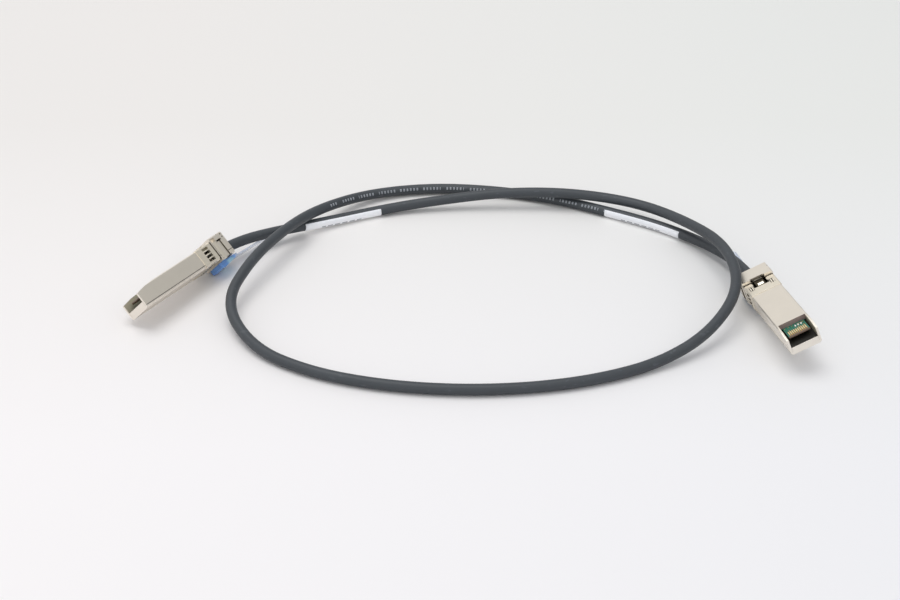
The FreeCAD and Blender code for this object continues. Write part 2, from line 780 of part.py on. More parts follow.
def make_cable():
    """The cable from inside one block to inside the other, and its two labels."""
    ends = {}
    for side in SIDES:
        frame = plug_frame(side)
        inner = size("cage_length") + size("block_length") - size("rear_wall") - size("seam_gap")
        axis = [FreeCAD.Vector(inner + lead, 0, size("cable_height")) for lead in (0, size("cable_lead"))]
        ends[side] = [frame.multVec(point) for point in axis]
    middle = [FreeCAD.Vector(*point) for point in ROUTE]
    edges, radii = tube_line(ends["left"] + middle + ends["right"][::-1])
    radius = size("cable_radius")
    length = sum(edge.Length for edge in edges)
    cable = tube(edges, radius)
    section = math.pi * radius ** 2
    print("cable: length %.1f mm, tube volume / section x length = %.4f"
          % (length, cable.Volume / (section * length)))
    print("cable: arc radii from %.1f to %.1f mm, smallest allowed %.1f mm"
          % (min(radii), max(radii), 10 * radius))
    add_feature("cable", cable)
    starts = {"left": size("left_label_at"),
              "right": length - size("right_label_at") - size("label_length")}
    for side in SIDES:
        piece = stretch(edges, starts[side], starts[side] + size("label_length"))
        sleeve = tube(piece, radius + size("label_wall")).cut(tube(piece, radius))
        add_feature(side + "_label", sleeve)


MAKERS = (make_shell, make_cover, make_screws, make_collar, make_card, make_contacts,
          make_card_parts, make_wires, make_crimp_ring, make_pin, make_lever, make_leaf,
          make_slide, make_tab)

for side in SIDES:
    for maker in MAKERS:
        maker(side)
doc.recompute()
make_cable()
doc.recompute()

for item in doc.Objects:
    if "Invalid" in item.State or "Error" in item.State:
        raise SystemExit("%s is in state %s" % (item.Label, item.State))

pieces = [item for item in doc.Objects if item.isDerivedFrom("PartDesign::Body")]
pieces += [item for item in doc.Objects if item.TypeId == "Part::Feature"]
os.makedirs("parts", exist_ok=True)
for piece in pieces:
    if piece.Shape.isNull() or not piece.Shape.isValid():
        raise SystemExit("%s has no valid shape" % piece.Label)
    piece.Shape.exportStep("parts/%s.step" % piece.Label)
    box = piece.Shape.optimalBoundingBox(False)
    print("%-22s solids %2d  volume %9.2f  x %8.2f..%8.2f  y %8.2f..%8.2f  z %6.2f..%6.2f"
          % (piece.Label, len(piece.Shape.Solids), piece.Shape.Volume,
             box.XMin, box.XMax, box.YMin, box.YMax, box.ZMin, box.ZMax))
print("pieces: %d" % len(pieces))
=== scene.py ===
"""Direct attach copper cable: the visual model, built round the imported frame."""

import json
import math

import bmesh
import bpy
from mathutils import Matrix, Vector

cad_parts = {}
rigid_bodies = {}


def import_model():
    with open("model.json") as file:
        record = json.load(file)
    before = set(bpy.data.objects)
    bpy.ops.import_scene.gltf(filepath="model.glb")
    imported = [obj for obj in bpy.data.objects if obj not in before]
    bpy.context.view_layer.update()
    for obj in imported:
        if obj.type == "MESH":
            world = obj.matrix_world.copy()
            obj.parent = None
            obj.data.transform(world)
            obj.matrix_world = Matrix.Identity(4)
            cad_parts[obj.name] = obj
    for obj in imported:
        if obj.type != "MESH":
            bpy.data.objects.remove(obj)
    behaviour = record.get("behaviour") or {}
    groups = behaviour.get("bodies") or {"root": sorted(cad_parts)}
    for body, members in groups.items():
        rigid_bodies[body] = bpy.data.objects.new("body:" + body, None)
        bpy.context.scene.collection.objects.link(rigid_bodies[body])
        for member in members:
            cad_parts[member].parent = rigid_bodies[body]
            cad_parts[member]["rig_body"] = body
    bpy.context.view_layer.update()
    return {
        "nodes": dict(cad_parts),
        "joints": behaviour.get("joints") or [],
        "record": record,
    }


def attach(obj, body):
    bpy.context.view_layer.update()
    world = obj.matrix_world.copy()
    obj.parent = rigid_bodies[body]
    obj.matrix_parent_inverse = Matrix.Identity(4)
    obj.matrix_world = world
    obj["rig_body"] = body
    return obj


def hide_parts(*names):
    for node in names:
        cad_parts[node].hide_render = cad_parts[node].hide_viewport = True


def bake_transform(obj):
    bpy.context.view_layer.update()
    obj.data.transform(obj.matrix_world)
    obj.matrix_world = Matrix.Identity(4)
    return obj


bl_info = {
    "name": "Direct Attach Cable",
    "version": (1, 0, 0),
    "blender": (4, 5, 0),
    "location": "View3D > Sidebar > Cable",
    "description": "Builds a direct attach copper cable with two pluggable modules",
    "category": "Object",
}

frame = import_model()

MM = 0.001
SIDES = ("left", "right")
PLUG_HEIGHT = 8.5 * MM
CORNER_MERGE = 0.004 * MM  # corners this near are one
FLAT_ANGLE = math.radians(0.6)  # faces that meet at less are one flat face

# The cable's route: control points of one smooth line, in metres, from the left plug to the right.
ROUTE = (
    (-0.1073, 0.0251, 0.0082),
    (-0.0998, 0.0352, 0.0074),
    (-0.0851, 0.0444, 0.0067),
    (-0.0616, 0.0600, 0.0027),
    (-0.0341, 0.0721, 0.0025),
    (-0.0056, 0.0763, 0.0052),
    (0.0229, 0.0773, 0.0082),
    (0.0519, 0.0766, 0.0080),
    (0.0804, 0.0706, 0.0064),
    (0.0999, 0.0491, 0.0097),
    (0.1134, 0.0186, 0.0160),
    (0.1154, -0.0108, 0.0138),
    (0.1002, -0.0342, 0.0072),
    (0.0784, -0.0487, 0.0025),
    (0.0519, -0.0599, 0.0025),
    (0.0239, -0.0654, 0.0025),
    (-0.0051, -0.0664, 0.0025),
    (-0.0341, -0.0629, 0.0025),
    (-0.0616, -0.0544, 0.0025),
    (-0.0856, -0.0389, 0.0028),
    (-0.0999, -0.0124, 0.0067),
    (-0.0911, 0.0134, 0.0120),
    (-0.0776, 0.0397, 0.0122),
    (-0.0646, 0.0638, 0.0076),
    (-0.0436, 0.0845, 0.0030),
    (-0.0146, 0.0910, 0.0025),
    (0.0144, 0.0886, 0.0025),
    (0.0419, 0.0813, 0.0025),
    (0.0679, 0.0689, 0.0025),
    (0.0924, 0.0550, 0.0026),
    (0.1129, 0.0357, 0.0034),
    (0.1215, 0.0155, 0.0060),
    (0.1243, 0.0009, 0.0080),
)


# ---------------------------------------------------------------- places


def named(items, name):
    return next(item for item in items if item["name"] == name)


def plug_matrix(side):
    """The plug's own frame: X from the mouth to the cable, Y across, Z towards the hood."""
    rear = Vector(named(frame["joints"], side + "_release_pull")["axis"]).normalized()
    across = Vector(named(frame["joints"], side + "_latch_tilt")["axis"]).normalized()
    up = rear.cross(across).normalized()
    middle = Vector(named(frame["record"]["mounts"], side + "_plug_nose")["pos_m"])
    matrix = Matrix((rear, across, up)).transposed().to_4x4()
    matrix.translation = middle - up * PLUG_HEIGHT / 2
    return matrix


PLUG = {side: plug_matrix(side) for side in SIDES}


# ---------------------------------------------------------------- mesh helpers


def link(name, mesh):
    piece = bpy.data.objects.new(name, mesh)
    bpy.context.scene.collection.objects.link(piece)
    return piece


def mesh_from(name, form):
    """A mesh object from a bmesh, with its normals turned outwards."""
    bmesh.ops.recalc_face_normals(form, faces=form.faces)
    mesh = bpy.data.meshes.new(name)
    form.to_mesh(mesh)
    form.free()
    return link(name, mesh)


def flattened(piece):
    """The piece with its modifiers applied and no modifier left."""
    graph = bpy.context.evaluated_depsgraph_get()
    mesh = bpy.data.meshes.new_from_object(piece.evaluated_get(graph))
    piece.modifiers.clear()
    piece.data = mesh
    return piece


def merged_copy(node, name):
    """A copy of a CAD node as clean flat faces instead of loose triangles."""
    form = bmesh.new()
    form.from_mesh(frame["nodes"][node].data)
    bmesh.ops.remove_doubles(form, verts=form.verts, dist=CORNER_MERGE)
    bmesh.ops.dissolve_limit(form, angle_limit=FLAT_ANGLE, verts=form.verts, edges=form.edges)
    mesh = bpy.data.meshes.new(name)
    form.to_mesh(mesh)
    form.free()
    return link(name, mesh)


def seat(piece, side):
    """Stores where each corner lies in the plug's own frame, in millimetres, for the materials."""
    inverse = PLUG[side].inverted()
    places = piece.data.attributes.new("seat", "FLOAT_VECTOR", "POINT")
    for corner, place in zip(piece.data.vertices, places.data):
        place.vector = (inverse @ corner.co) / MM


def round_edges(piece, width, segments=2, angle=32.0):
    """Small rounds on every sharp edge, which take the piece's second material."""
    rounding = piece.modifiers.new("Rounded edges", "BEVEL")
    rounding.width = width
    rounding.segments = segments
    rounding.limit_method = "ANGLE"
    rounding.angle_limit = math.radians(angle)
    rounding.use_clamp_overlap = True
    rounding.material = 1
    rounding.miter_outer = "MITER_ARC"
    piece.data.shade_smooth()
    smoothing = piece.modifiers.new("Flat faces stay flat", "WEIGHTED_NORMAL")
    smoothing.keep_sharp = False
    smoothing.weight = 100
    return flattened(piece)


def dress_node(node, side, finish, edge_finish, width, segments=2, rides=True):
    """A CAD node's own shape with rounded edges and two finishes, standing for that node."""
    piece = merged_copy(node, node + "_finished")
    piece.data.materials.append(finish)
    piece.data.materials.append(edge_finish)
    round_edges(piece, width, segments)
    seat(piece, side)
    if rides:
        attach(piece, frame["nodes"][node]["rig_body"])
    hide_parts(node)
    return piece


def in_plug(piece, side):
    """Moves a mesh from the plug's own frame, in millimetres, to its place."""
    piece.data.transform(PLUG[side] @ Matrix.Scale(MM, 4))
    seat(piece, side)


# ---------------------------------------------------------------- shader helpers


class Graph:
    """Short ways to add nodes and links to a material or a node group."""

    def __init__(self, tree):
        self.tree = tree

    def node(self, kind, sockets=None, **values):
        """A node with its values set and its inputs fed."""
        made = self.tree.nodes.new(kind)
        for key, value in values.items():
            setattr(made, key, value)
        for label, value in (sockets or {}).items():
            self.feed(made.inputs[label], value)
        return made

    def link(self, source, target):
        self.tree.links.new(source, target)

    def feed(self, socket, value):
        """Links an output to the socket, or sets the socket's own value."""
        if isinstance(value, bpy.types.NodeSocket):
            self.link(value, socket)
        else:
            socket.default_value = value

    def maths(self, operation, *values):
        return self.node("ShaderNodeMath", dict(enumerate(values)), operation=operation).outputs[0]

    def chain(self, operation, first, *others):
        """One operation carried through any number of values."""
        for value in others:
            first = self.maths(operation, first, value)
        return first

    def remap(self, value, low, high, to_low=0.0, to_high=1.0, kind="LINEAR"):
        """A value carried from one range to another, and kept inside it."""
        ranges = {"From Min": low, "From Max": high, "To Min": to_low, "To Max": to_high}
        made = self.node("ShaderNodeMapRange", {"Value": value, **ranges}, interpolation_type=kind)
        return made.outputs["Result"]

    def band(self, value, low, high, soft):
        """1 between two values, 0 outside them, with soft ends."""
        rise = self.remap(value, low - soft, low + soft, kind="SMOOTHSTEP")
        fall = self.remap(value, high - soft, high + soft, 1.0, 0.0, kind="SMOOTHSTEP")
        return self.maths("MULTIPLY", rise, fall)

    def mix(self, factor, first, second):
        made = self.node("ShaderNodeMix", {0: factor, 6: first, 7: second}, data_type="RGBA")
        return made.outputs[2]

    def noise(self, vector, scale, detail):
        sockets = {"Vector": vector, "Scale": scale, "Detail": detail}
        return self.node("ShaderNodeTexNoise", sockets).outputs["Fac"]

    def stretched(self, vector, scale):
        return self.node("ShaderNodeMapping", {"Vector": vector, "Scale": scale}).outputs["Vector"]

    def seat_place(self):
        """Where a surface lies in its plug's own frame, in millimetres."""
        return self.node("ShaderNodeAttribute", attribute_name="seat").outputs["Vector"]

    def object_place(self):
        return self.node("ShaderNodeTexCoord").outputs["Object"]

    def bump(self, height, strength, distance):
        sockets = {"Height": height, "Strength": strength, "Distance": distance}
        return self.node("ShaderNodeBump", sockets).outputs["Normal"]

    def split(self, vector):
        return self.node("ShaderNodeSeparateXYZ", {0: vector}).outputs


def colour(red, green, blue):
    """Screen colour, 0 to 255, as the linear colour a shader takes."""
    linear = []
    for value in (red / 255, green / 255, blue / 255):
        linear.append(value / 12.92 if value <= 0.04045 else ((value + 0.055) / 1.055) ** 2.4)
    return (*linear, 1.0)


def new_finish(name, **fixed):
    """A material with one Principled shader whose constants are set on its own sockets."""
    finish = bpy.data.materials.new(name)
    finish.use_nodes = True
    shader = finish.node_tree.nodes["Principled BSDF"]
    for socket, value in fixed.items():
        shader.inputs[socket.replace("_", " ")].default_value = value
    return finish, Graph(finish.node_tree), shader


SOCKET_KINDS = {float: "NodeSocketFloat", int: "NodeSocketInt"}


def add_inputs(tree, inputs, other):
    """Named inputs with their values. One without a value is of the other kind."""
    for label, value in inputs.items():
        kind = SOCKET_KINDS.get(type(value), other)
        socket = tree.interface.new_socket(label, in_out="INPUT", socket_type=kind)
        if value is not None:
            socket.default_value = value


def tree_named(name, maker):
    """The node tree of that name, made on first use."""
    return bpy.data.node_groups.get(name) or maker(name)


def group_tree(name, inputs, outputs):
    """An empty shader node group with named inputs and outputs."""
    tree = bpy.data.node_groups.new(name, "ShaderNodeTree")
    add_inputs(tree, inputs, "NodeSocketVector")
    for label in outputs:
        tree.interface.new_socket(label, in_out="OUTPUT", socket_type="NodeSocketFloat")
    graph = Graph(tree)
    return tree, graph, graph.node("NodeGroupInput").outputs, graph.node("NodeGroupOutput").inputs


def use_group(graph, name, maker, **values):
    """The outputs of a node group placed among a material's nodes, with its inputs fed."""
    sockets = {label.replace("_", " "): value for label, value in values.items()}
    return graph.node("ShaderNodeGroup", sockets, node_tree=tree_named(name, maker)).outputs


def surface_grain(name):
    """Group: cloudy tone and fine grain of a surface, from a place and two scales."""
    tree, graph, given, result = group_tree(
        name, {"Place": None, "Cloud scale": 100.0, "Grain scale": 2000.0}, ("Cloud", "Grain"))
    graph.link(graph.noise(given["Place"], given["Cloud scale"], 3.0), result["Cloud"])
    graph.link(graph.noise(given["Place"], given["Grain scale"], 2.0), result["Grain"])
    return tree


MARK_PEAK = 0.75  # value of the noise at which a mark is full


def handling_marks(name):
    """Group: thin random scratches along one direction, from a stretched place."""
    tree, graph, given, result = group_tree(
        name, {"Place": None, "Scale": 3.0, "Spread": 0.5}, ("Marks",))
    noise = graph.noise(given["Place"], given["Scale"], 4.0)
    graph.link(graph.remap(noise, given["Spread"], MARK_PEAK, kind="SMOOTHSTEP"), result["Marks"])
    return tree


# Boxes in a plug's own frame, in millimetres: from and to along, across from the middle, and up.
# Painted shade: the walls inside the plug and the slots behind the collar's fingers take a darker, duller
# tone.
INNER_WALLS = ((0.14, 38.0), (-1.0, 5.86), (0.04, 7.42))
FINGER_SLOTS = ((40.8, 45.0), (5.6, 6.3), (0.4, 8.1))
# Painted shade: gaps, pockets, seam grooves and groove ends inside these boxes are coloured dark.
PAINTED_GAP_SHADE_BOXES = {
    "latch pocket": ((40.0, 60.0), (-1.0, 5.0), (0.06, 7.0)),
    "behind the latch side's fingers": ((41.0, 45.0), (-1.0, 6.4), (-0.05, 0.3)),
    "behind the hood side's fingers": ((41.0, 45.0), (-1.0, 6.4), (8.2, 8.55)),
    "step before the block": ((46.9, 47.64), (-1.0, 6.75), (-0.05, 8.55)),
    "seam along the nose": ((0.2, 47.5), (6.3, 6.68), (7.12, 7.68)),
    "seam along the block": ((47.7, 56.2), (6.6, 6.98), (7.12, 7.68)),
    "end of the flank's groove": ((52.95, 53.25), (6.4, 6.95), (-2.0, 9.7)),
}
# Painted shadow: the hood's inner face in the mouth is coloured near black.
HOOD_FACE_UP = (5.15, 5.4)
HOOD_FACE_ALONG = (0.12, 9.6)
# Painted shade: the rear wall of the mouth is coloured a darker reddish grey.
REAR_WALL_ALONG = (10.2, 10.6)
# Painted shade: dark discs stand for the rivet holes in the flanks.
RIVET_HOLES = ((55.0, -0.66), (55.15, 0.77))  # along and up, in both flanks
RIVET_RADIUS = 0.3
FLANK_ACROSS = 6.9
SOFT = 0.015  # half the width of a mask's soft end
WALL_SOFT = 0.02
RIVET_SOFT = 0.03


def painted_plug_shade(name):
    """Group: masks where shade is painted inside a plug: its inner walls and finger slots, its hood face, its
    rear wall, its gaps and its rivet holes, from a place in its frame in mm.
    """
    tree, graph, given, result = group_tree(
        name, {"Place": None}, ("Inside", "Painted hood shadow", "Painted rear wall shade", "Gap"))
    along, across, up = graph.split(given["Place"])
    across = graph.maths("ABSOLUTE", across)

    def within(box):
        """1 inside a box, 0 outside it."""
        places = zip((along, across, up), box)
        return graph.chain("MULTIPLY", *(graph.band(value, *limits, SOFT) for value, limits in places))

    def painted_rivet_hole_shade(hole_along, hole_up):
        offset = graph.node("ShaderNodeCombineXYZ", {
            0: graph.maths("SUBTRACT", along, hole_along), 1: graph.maths("SUBTRACT", up, hole_up)})
        distance = graph.node("ShaderNodeVectorMath", {0: offset.outputs[0]}, operation="LENGTH")
        disc = graph.band(distance.outputs["Value"], -1.0, RIVET_RADIUS, RIVET_SOFT)
        return graph.maths("MULTIPLY", disc, graph.maths("GREATER_THAN", across, FLANK_ACROSS))

    walls = within(INNER_WALLS)
    hood = graph.chain("MULTIPLY", graph.band(up, *HOOD_FACE_UP, WALL_SOFT),
                       graph.band(along, *HOOD_FACE_ALONG, WALL_SOFT), walls)
    rear = graph.maths("MULTIPLY", graph.band(along, *REAR_WALL_ALONG, WALL_SOFT), walls)
    # Painted shade in the gaps and rivet holes.
    dark = [within(box) for box in PAINTED_GAP_SHADE_BOXES.values()] + [painted_rivet_hole_shade(*hole) for hole in RIVET_HOLES]
    graph.link(graph.maths("MAXIMUM", walls, within(FINGER_SLOTS)), result["Inside"])
    graph.link(hood, result["Painted hood shadow"])
    graph.link(rear, result["Painted rear wall shade"])
    graph.link(graph.chain("MAXIMUM", *dark), result["Gap"])
    return tree


# ---------------------------------------------------------------- geometry node helpers


def grown_tree(name, inputs):
    """An empty geometry node tree with named inputs."""
    tree = bpy.data.node_groups.new(name, "GeometryNodeTree")
    tree.interface.new_socket("Geometry", in_out="INPUT", socket_type="NodeSocketGeometry")
    add_inputs(tree, inputs, "NodeSocketMaterial")
    tree.interface.new_socket("Geometry", in_out="OUTPUT", socket_type="NodeSocketGeometry")
    graph = Graph(tree)
    return tree, graph, graph.node("NodeGroupInput").outputs, graph.node("NodeGroupOutput").inputs


def close_tree(graph, shape, material, result):
    """The end of every tree: instances made real, then the material."""
    real = graph.node("GeometryNodeRealizeInstances", {"Geometry": shape})
    dressed = graph.node("GeometryNodeSetMaterial", {
        "Geometry": real.outputs["Geometry"], "Material": material})
    graph.link(dressed.outputs["Geometry"], result["Geometry"])


def grow(piece, tree, **values):
    """Runs a tree on a piece with its inputs set, and leaves a plain mesh."""
    step = piece.modifiers.new(tree.name, "NODES")
    step.node_group = tree
    for item in tree.interface.items_tree:
        if item.in_out == "INPUT" and item.name.replace(" ", "_") in values:
            step[item.identifier] = values[item.name.replace(" ", "_")]
    return flattened(piece)


def points_piece(name, places, edges=()):
    """A mesh of bare points, or of points joined in a line, for a tree to grow on."""
    mesh = bpy.data.meshes.new(name)
    mesh.from_pydata([tuple(place) for place in places], list(edges), [])
    return link(name, mesh)


LETTER_SHARE = 0.62  # share of a letter's pitch that is inked
WORD_SHARE = 0.78  # share of a word's pitch that holds letters


def jacket_print_tree(name):
    """Printed dashes along the jacket, in runs that repeat at an even spacing."""
    tree, graph, given, result = grown_tree(name, {
        "Radius": 2.3 * MM, "Turn": 0.0, "Height": 0.56, "Letter pitch": 1.6 * MM,
        "Word pitch": 11.0 * MM, "Run pitch": 300.0 * MM, "Run share": 0.476,
        "Run start": 336.0 * MM, "Step": 0.4 * MM, "Material": None})
    line = graph.node("GeometryNodeMeshToCurve", {"Mesh": given["Geometry"]})
    steps = graph.node("GeometryNodeResampleCurve", {
        "Curve": line.outputs["Curve"], "Length": given["Step"]}, mode="LENGTH")
    level = graph.node("GeometryNodeSetCurveNormal", {"Curve": steps.outputs["Curve"]}, mode="Z_UP")
    length = graph.node("GeometryNodeSplineParameter").outputs["Length"]
    measured = graph.node("GeometryNodeStoreNamedAttribute", {
        "Geometry": level.outputs["Curve"], "Name": "reach", "Value": length},
        data_type="FLOAT", domain="POINT")
    arc = graph.node("GeometryNodeCurveArc", {
        "Resolution": 5, "Radius": given["Radius"], "Start Angle": given["Turn"],
        "Sweep Angle": given["Height"]}, mode="RADIUS")
    band = graph.node("GeometryNodeCurveToMesh", {
        "Curve": measured.outputs["Geometry"], "Profile Curve": arc.outputs["Curve"]})
    reach = graph.node("GeometryNodeInputNamedAttribute", {"Name": "reach"}, data_type="FLOAT")
    past = graph.maths("SUBTRACT", reach.outputs["Attribute"], given["Run start"])

    def gap(pitch, share):
        part = graph.maths("FRACT", graph.maths("DIVIDE", past, given[pitch]))
        return graph.maths("GREATER_THAN", part, share)

    bare = graph.chain("MAXIMUM", gap("Letter pitch", LETTER_SHARE), gap("Word pitch", WORD_SHARE),
                       gap("Run pitch", given["Run share"]), graph.maths("LESS_THAN", past, 0.0))
    kept = graph.node("GeometryNodeDeleteGeometry", {
        "Geometry": band.outputs["Mesh"], "Selection": bare}, domain="FACE", mode="ALL")
    close_tree(graph, kept.outputs["Geometry"], given["Material"], result)
    return tree


def screw_tree(name):
    """Flat-headed screws with a hexagon socket, one on every point, hanging down from it."""
    tree, graph, given, result = grown_tree(name, {
        "Head radius": 0.75, "Head depth": 0.45, "Shaft radius": 0.5, "Length": 4.0,
        "Socket radius": 0.4, "Material": None})

    def bar(sides, radius, depth, top):
        """A standing rod with so many sides, whose upper end lies at top."""
        rod = graph.node("GeometryNodeMeshCylinder", {"Vertices": sides, "Radius": radius, "Depth": depth})
        height = graph.maths("SUBTRACT", top, graph.maths("DIVIDE", depth, 2.0))
        place = graph.node("ShaderNodeCombineXYZ", {"Z": height})
        moved = graph.node("GeometryNodeTransform", {
            "Geometry": rod.outputs["Mesh"], "Translation": place.outputs["Vector"]})
        return moved.outputs["Geometry"]

    # The socket's cutter stands out of the head by 0.6 of its depth and goes 0.7 of it deep.
    deep = given["Head depth"]
    head = bar(32, given["Head radius"], deep, 0.0)
    socket = bar(6, given["Socket radius"], graph.maths("MULTIPLY", deep, 1.3),
                 graph.maths("MULTIPLY", deep, 0.6))
    cut = graph.node("GeometryNodeMeshBoolean", {"Mesh 1": head, "Mesh 2": socket},
                     operation="DIFFERENCE")
    shaft = bar(24, given["Shaft radius"], graph.maths("SUBTRACT", given["Length"], deep),
                graph.maths("MULTIPLY", deep, -1.0))
    both = graph.node("GeometryNodeJoinGeometry")
    graph.link(cut.outputs["Mesh"], both.inputs["Geometry"])
    graph.link(shaft, both.inputs["Geometry"])
    spread = graph.node("GeometryNodeInstanceOnPoints", {
        "Points": given["Geometry"], "Instance": both.outputs["Geometry"]})
    close_tree(graph, spread.outputs["Instances"], given["Material"], result)
    return tree


def plated_hole_tree(name):
    """Rings of plated holes, one on each point, with some left out at random."""
    tree, graph, given, result = grown_tree(name, {
        "Ring radius": 0.2, "Wire radius": 0.07, "Share left out": 0.3, "Seed": 4, "Material": None})

    def circle(points, radius):
        sockets = {"Resolution": points, "Radius": given[radius]}
        return graph.node("GeometryNodeCurvePrimitiveCircle", sockets).outputs["Curve"]

    solid = graph.node("GeometryNodeCurveToMesh", {
        "Curve": circle(12, "Ring radius"), "Profile Curve": circle(6, "Wire radius")})
    chance = graph.node("FunctionNodeRandomValue", {"Seed": given["Seed"]}, data_type="FLOAT")
    keep = graph.maths("GREATER_THAN", chance.outputs[1], given["Share left out"])
    spread = graph.node("GeometryNodeInstanceOnPoints", {
        "Points": given["Geometry"], "Selection": keep, "Instance": solid.outputs["Mesh"]})
    close_tree(graph, spread.outputs["Instances"], given["Material"], result)
    return tree


# ---------------------------------------------------------------- finishes

NOISE_LOW, NOISE_HIGH = 0.3, 0.7  # where most values of a noise lie

# Places in a plug's own frame, in millimetres.
TRACKS_ALONG = (7.4, 30.0)
CARD_SIDE = 5.42
CARD_FRONT = 3.62
# Painted highlight: a pale cream band across the contacts.
CONTACT_HIGHLIGHT_ALONG = (4.6, 6.9)
CAPACITOR_BODY = (8.18, 8.62)
CHIP_FROM = 15.0  # only the chip lies further from the mouth
# Painted highlight on the grip, where light shines through the blue plastic.
TAB_HIGHLIGHT_ALONG = (51.5, 55.5)
TAB_HIGHLIGHT_UP = (10.2, 12.8)
PALE_ALONG = (57.0, 80.0)


def grain_of(graph, place, clouds, grains):
    """Cloudy tone and fine grain at a place, with a scale for each."""
    return use_group(graph, "Surface grain", surface_grain, Place=place, Cloud_scale=clouds,
                     Grain_scale=grains)


def marks_of(graph, place, scale, spread):
    """Faint scratches at a stretched place."""
    return use_group(graph, "Handling marks", handling_marks, Place=place, Scale=scale,
                     Spread=spread)["Marks"]


def by_noise(graph, noise, low, high):
    return graph.remap(noise, NOISE_LOW, NOISE_HIGH, low, high)


def complete(graph, shader, tone, roughness, relief=None):
    """Links a finish's colour and roughness, and its relief as height, strength and distance."""
    graph.link(tone, shader.inputs["Base Color"])
    graph.link(roughness, shader.inputs["Roughness"])
    if relief:
        graph.link(graph.bump(*relief), shader.inputs["Normal"])


def plated_metal(name, tone, roughness, grain_along=(1.0, 1.0, 1.0), coarse=2.5, bumps=0.06):
    """Nickel-plated metal: satin, with cloudy tone, fine grain and faint marks, and with shade painted inside
    the plug, on the hood face, on the rear wall, in gaps and in rivet holes.
    """
    finish, graph, shader = new_finish(name)
    place = graph.seat_place()
    grain = grain_of(graph, graph.stretched(place, grain_along), 0.16, coarse)
    marks = marks_of(graph, graph.stretched(place, (0.25, 3.0, 3.0)), 1.6, 0.62)
    masks = use_group(graph, "Plug inside", painted_plug_shade, Place=place)
    inside = masks["Inside"]
    darker = tuple(channel * 0.93 for channel in tone[:3]) + (1.0,)
    tone = graph.mix(grain["Cloud"], darker, tone)
    # Painted shade: a darker, less metallic tone inside the plug, a near-black hood face, a reddish grey rear
    # wall, and dark gaps and rivet holes.
    for mask, shade in (("Inside", colour(172, 165, 144)), ("Painted hood shadow", colour(34, 32, 28)),
                        ("Painted rear wall shade", colour(158, 138, 134)), ("Gap", colour(82, 76, 66))):
        tone = graph.mix(masks[mask], tone, shade)
    metal = graph.maths("SUBTRACT", 1.0, graph.maths("MULTIPLY", inside, 0.8))
    graph.link(metal, shader.inputs["Metallic"])
    rough = graph.chain("ADD", by_noise(graph, grain["Grain"], roughness - 0.04, roughness + 0.04),
                        graph.maths("MULTIPLY", marks, 0.06), graph.maths("MULTIPLY", inside, 0.25))
    complete(graph, shader, tone, rough, (grain["Grain"], bumps, 0.02 * MM))
    return finish


def circuit_board():
    """Green board: solder mask over copper tracks, with brown laminate edges."""
    finish, graph, shader = new_finish("circuit board", Coat_Weight=0.35, Coat_Roughness=0.12)
    place = graph.seat_place()
    along, across, _ = graph.split(place)
    lane = graph.maths("PINGPONG", graph.maths("ADD", across, 40.0), 0.4)
    track = graph.maths("MULTIPLY", graph.band(lane, 0.26, 0.6, 0.03), graph.band(along, *TRACKS_ALONG, 0.1))
    grain = grain_of(graph, place, 0.5, 7.0)
    mask = graph.mix(grain["Cloud"], colour(26, 92, 76), colour(44, 122, 100))
    board = graph.mix(graph.maths("MULTIPLY", track, 0.6), mask, colour(70, 150, 122))
    side = graph.maths("GREATER_THAN", graph.maths("ABSOLUTE", across), CARD_SIDE)
    board = graph.mix(side, board, colour(104, 98, 72))
    board = graph.mix(graph.maths("LESS_THAN", along, CARD_FRONT), board, colour(98, 76, 60))
    complete(graph, shader, board, by_noise(graph, grain["Grain"], 0.30, 0.42), (track, 0.25, 0.03 * MM))
    return finish


def contact_gold():
    """Hard gold with a paler band painted on as a highlight, copper-coloured elsewhere."""
    finish, graph, shader = new_finish("contact gold", Metallic=1.0)
    place = graph.seat_place()
    grain = grain_of(graph, graph.stretched(place, (0.3, 4.0, 1.0)), 1.0, 6.0)
    painted_gold_highlight = graph.band(graph.split(place)[0], *CONTACT_HIGHLIGHT_ALONG, 0.35)
    # Painted highlight: the band is pale cream over the copper-coloured gold.
    tone = graph.mix(painted_gold_highlight, colour(206, 148, 96), colour(255, 226, 172))
    complete(graph, shader, tone, by_noise(graph, grain["Grain"], 0.20, 0.36))
    return finish


def jacket_plastic(settings):
    """Dark cable jacket: satin plastic with cloudy tone and a faint extrusion grain."""
    finish, graph, shader = new_finish("cable jacket", Specular_IOR_Level=0.42)
    place = graph.object_place()
    grain = grain_of(graph, place, 45.0, 2600.0)
    scuffs = marks_of(graph, graph.stretched(place, (260.0, 260.0, 900.0)), 1.0, 0.60)
    tone = graph.mix(grain["Cloud"], colour(*settings.jacket_shade), colour(*settings.jacket_light))
    tone = graph.mix(graph.maths("MULTIPLY", scuffs, 0.35), tone, colour(96, 101, 107))
    complete(graph, shader, tone, by_noise(graph, grain["Grain"], 0.42, 0.54),
             (grain["Grain"], 0.12, 0.03 * MM))
    return finish


def jacket_ink():
    """Pale grey ink of the printed dashes, worn thin in places."""
    finish, graph, shader = new_finish("jacket ink")
    grain = grain_of(graph, graph.object_place(), 500.0, 3000.0)
    tone = graph.mix(grain["Cloud"], colour(120, 125, 132), colour(172, 177, 182))
    complete(graph, shader, tone, by_noise(graph, grain["Grain"], 0.46, 0.60))
    return finish


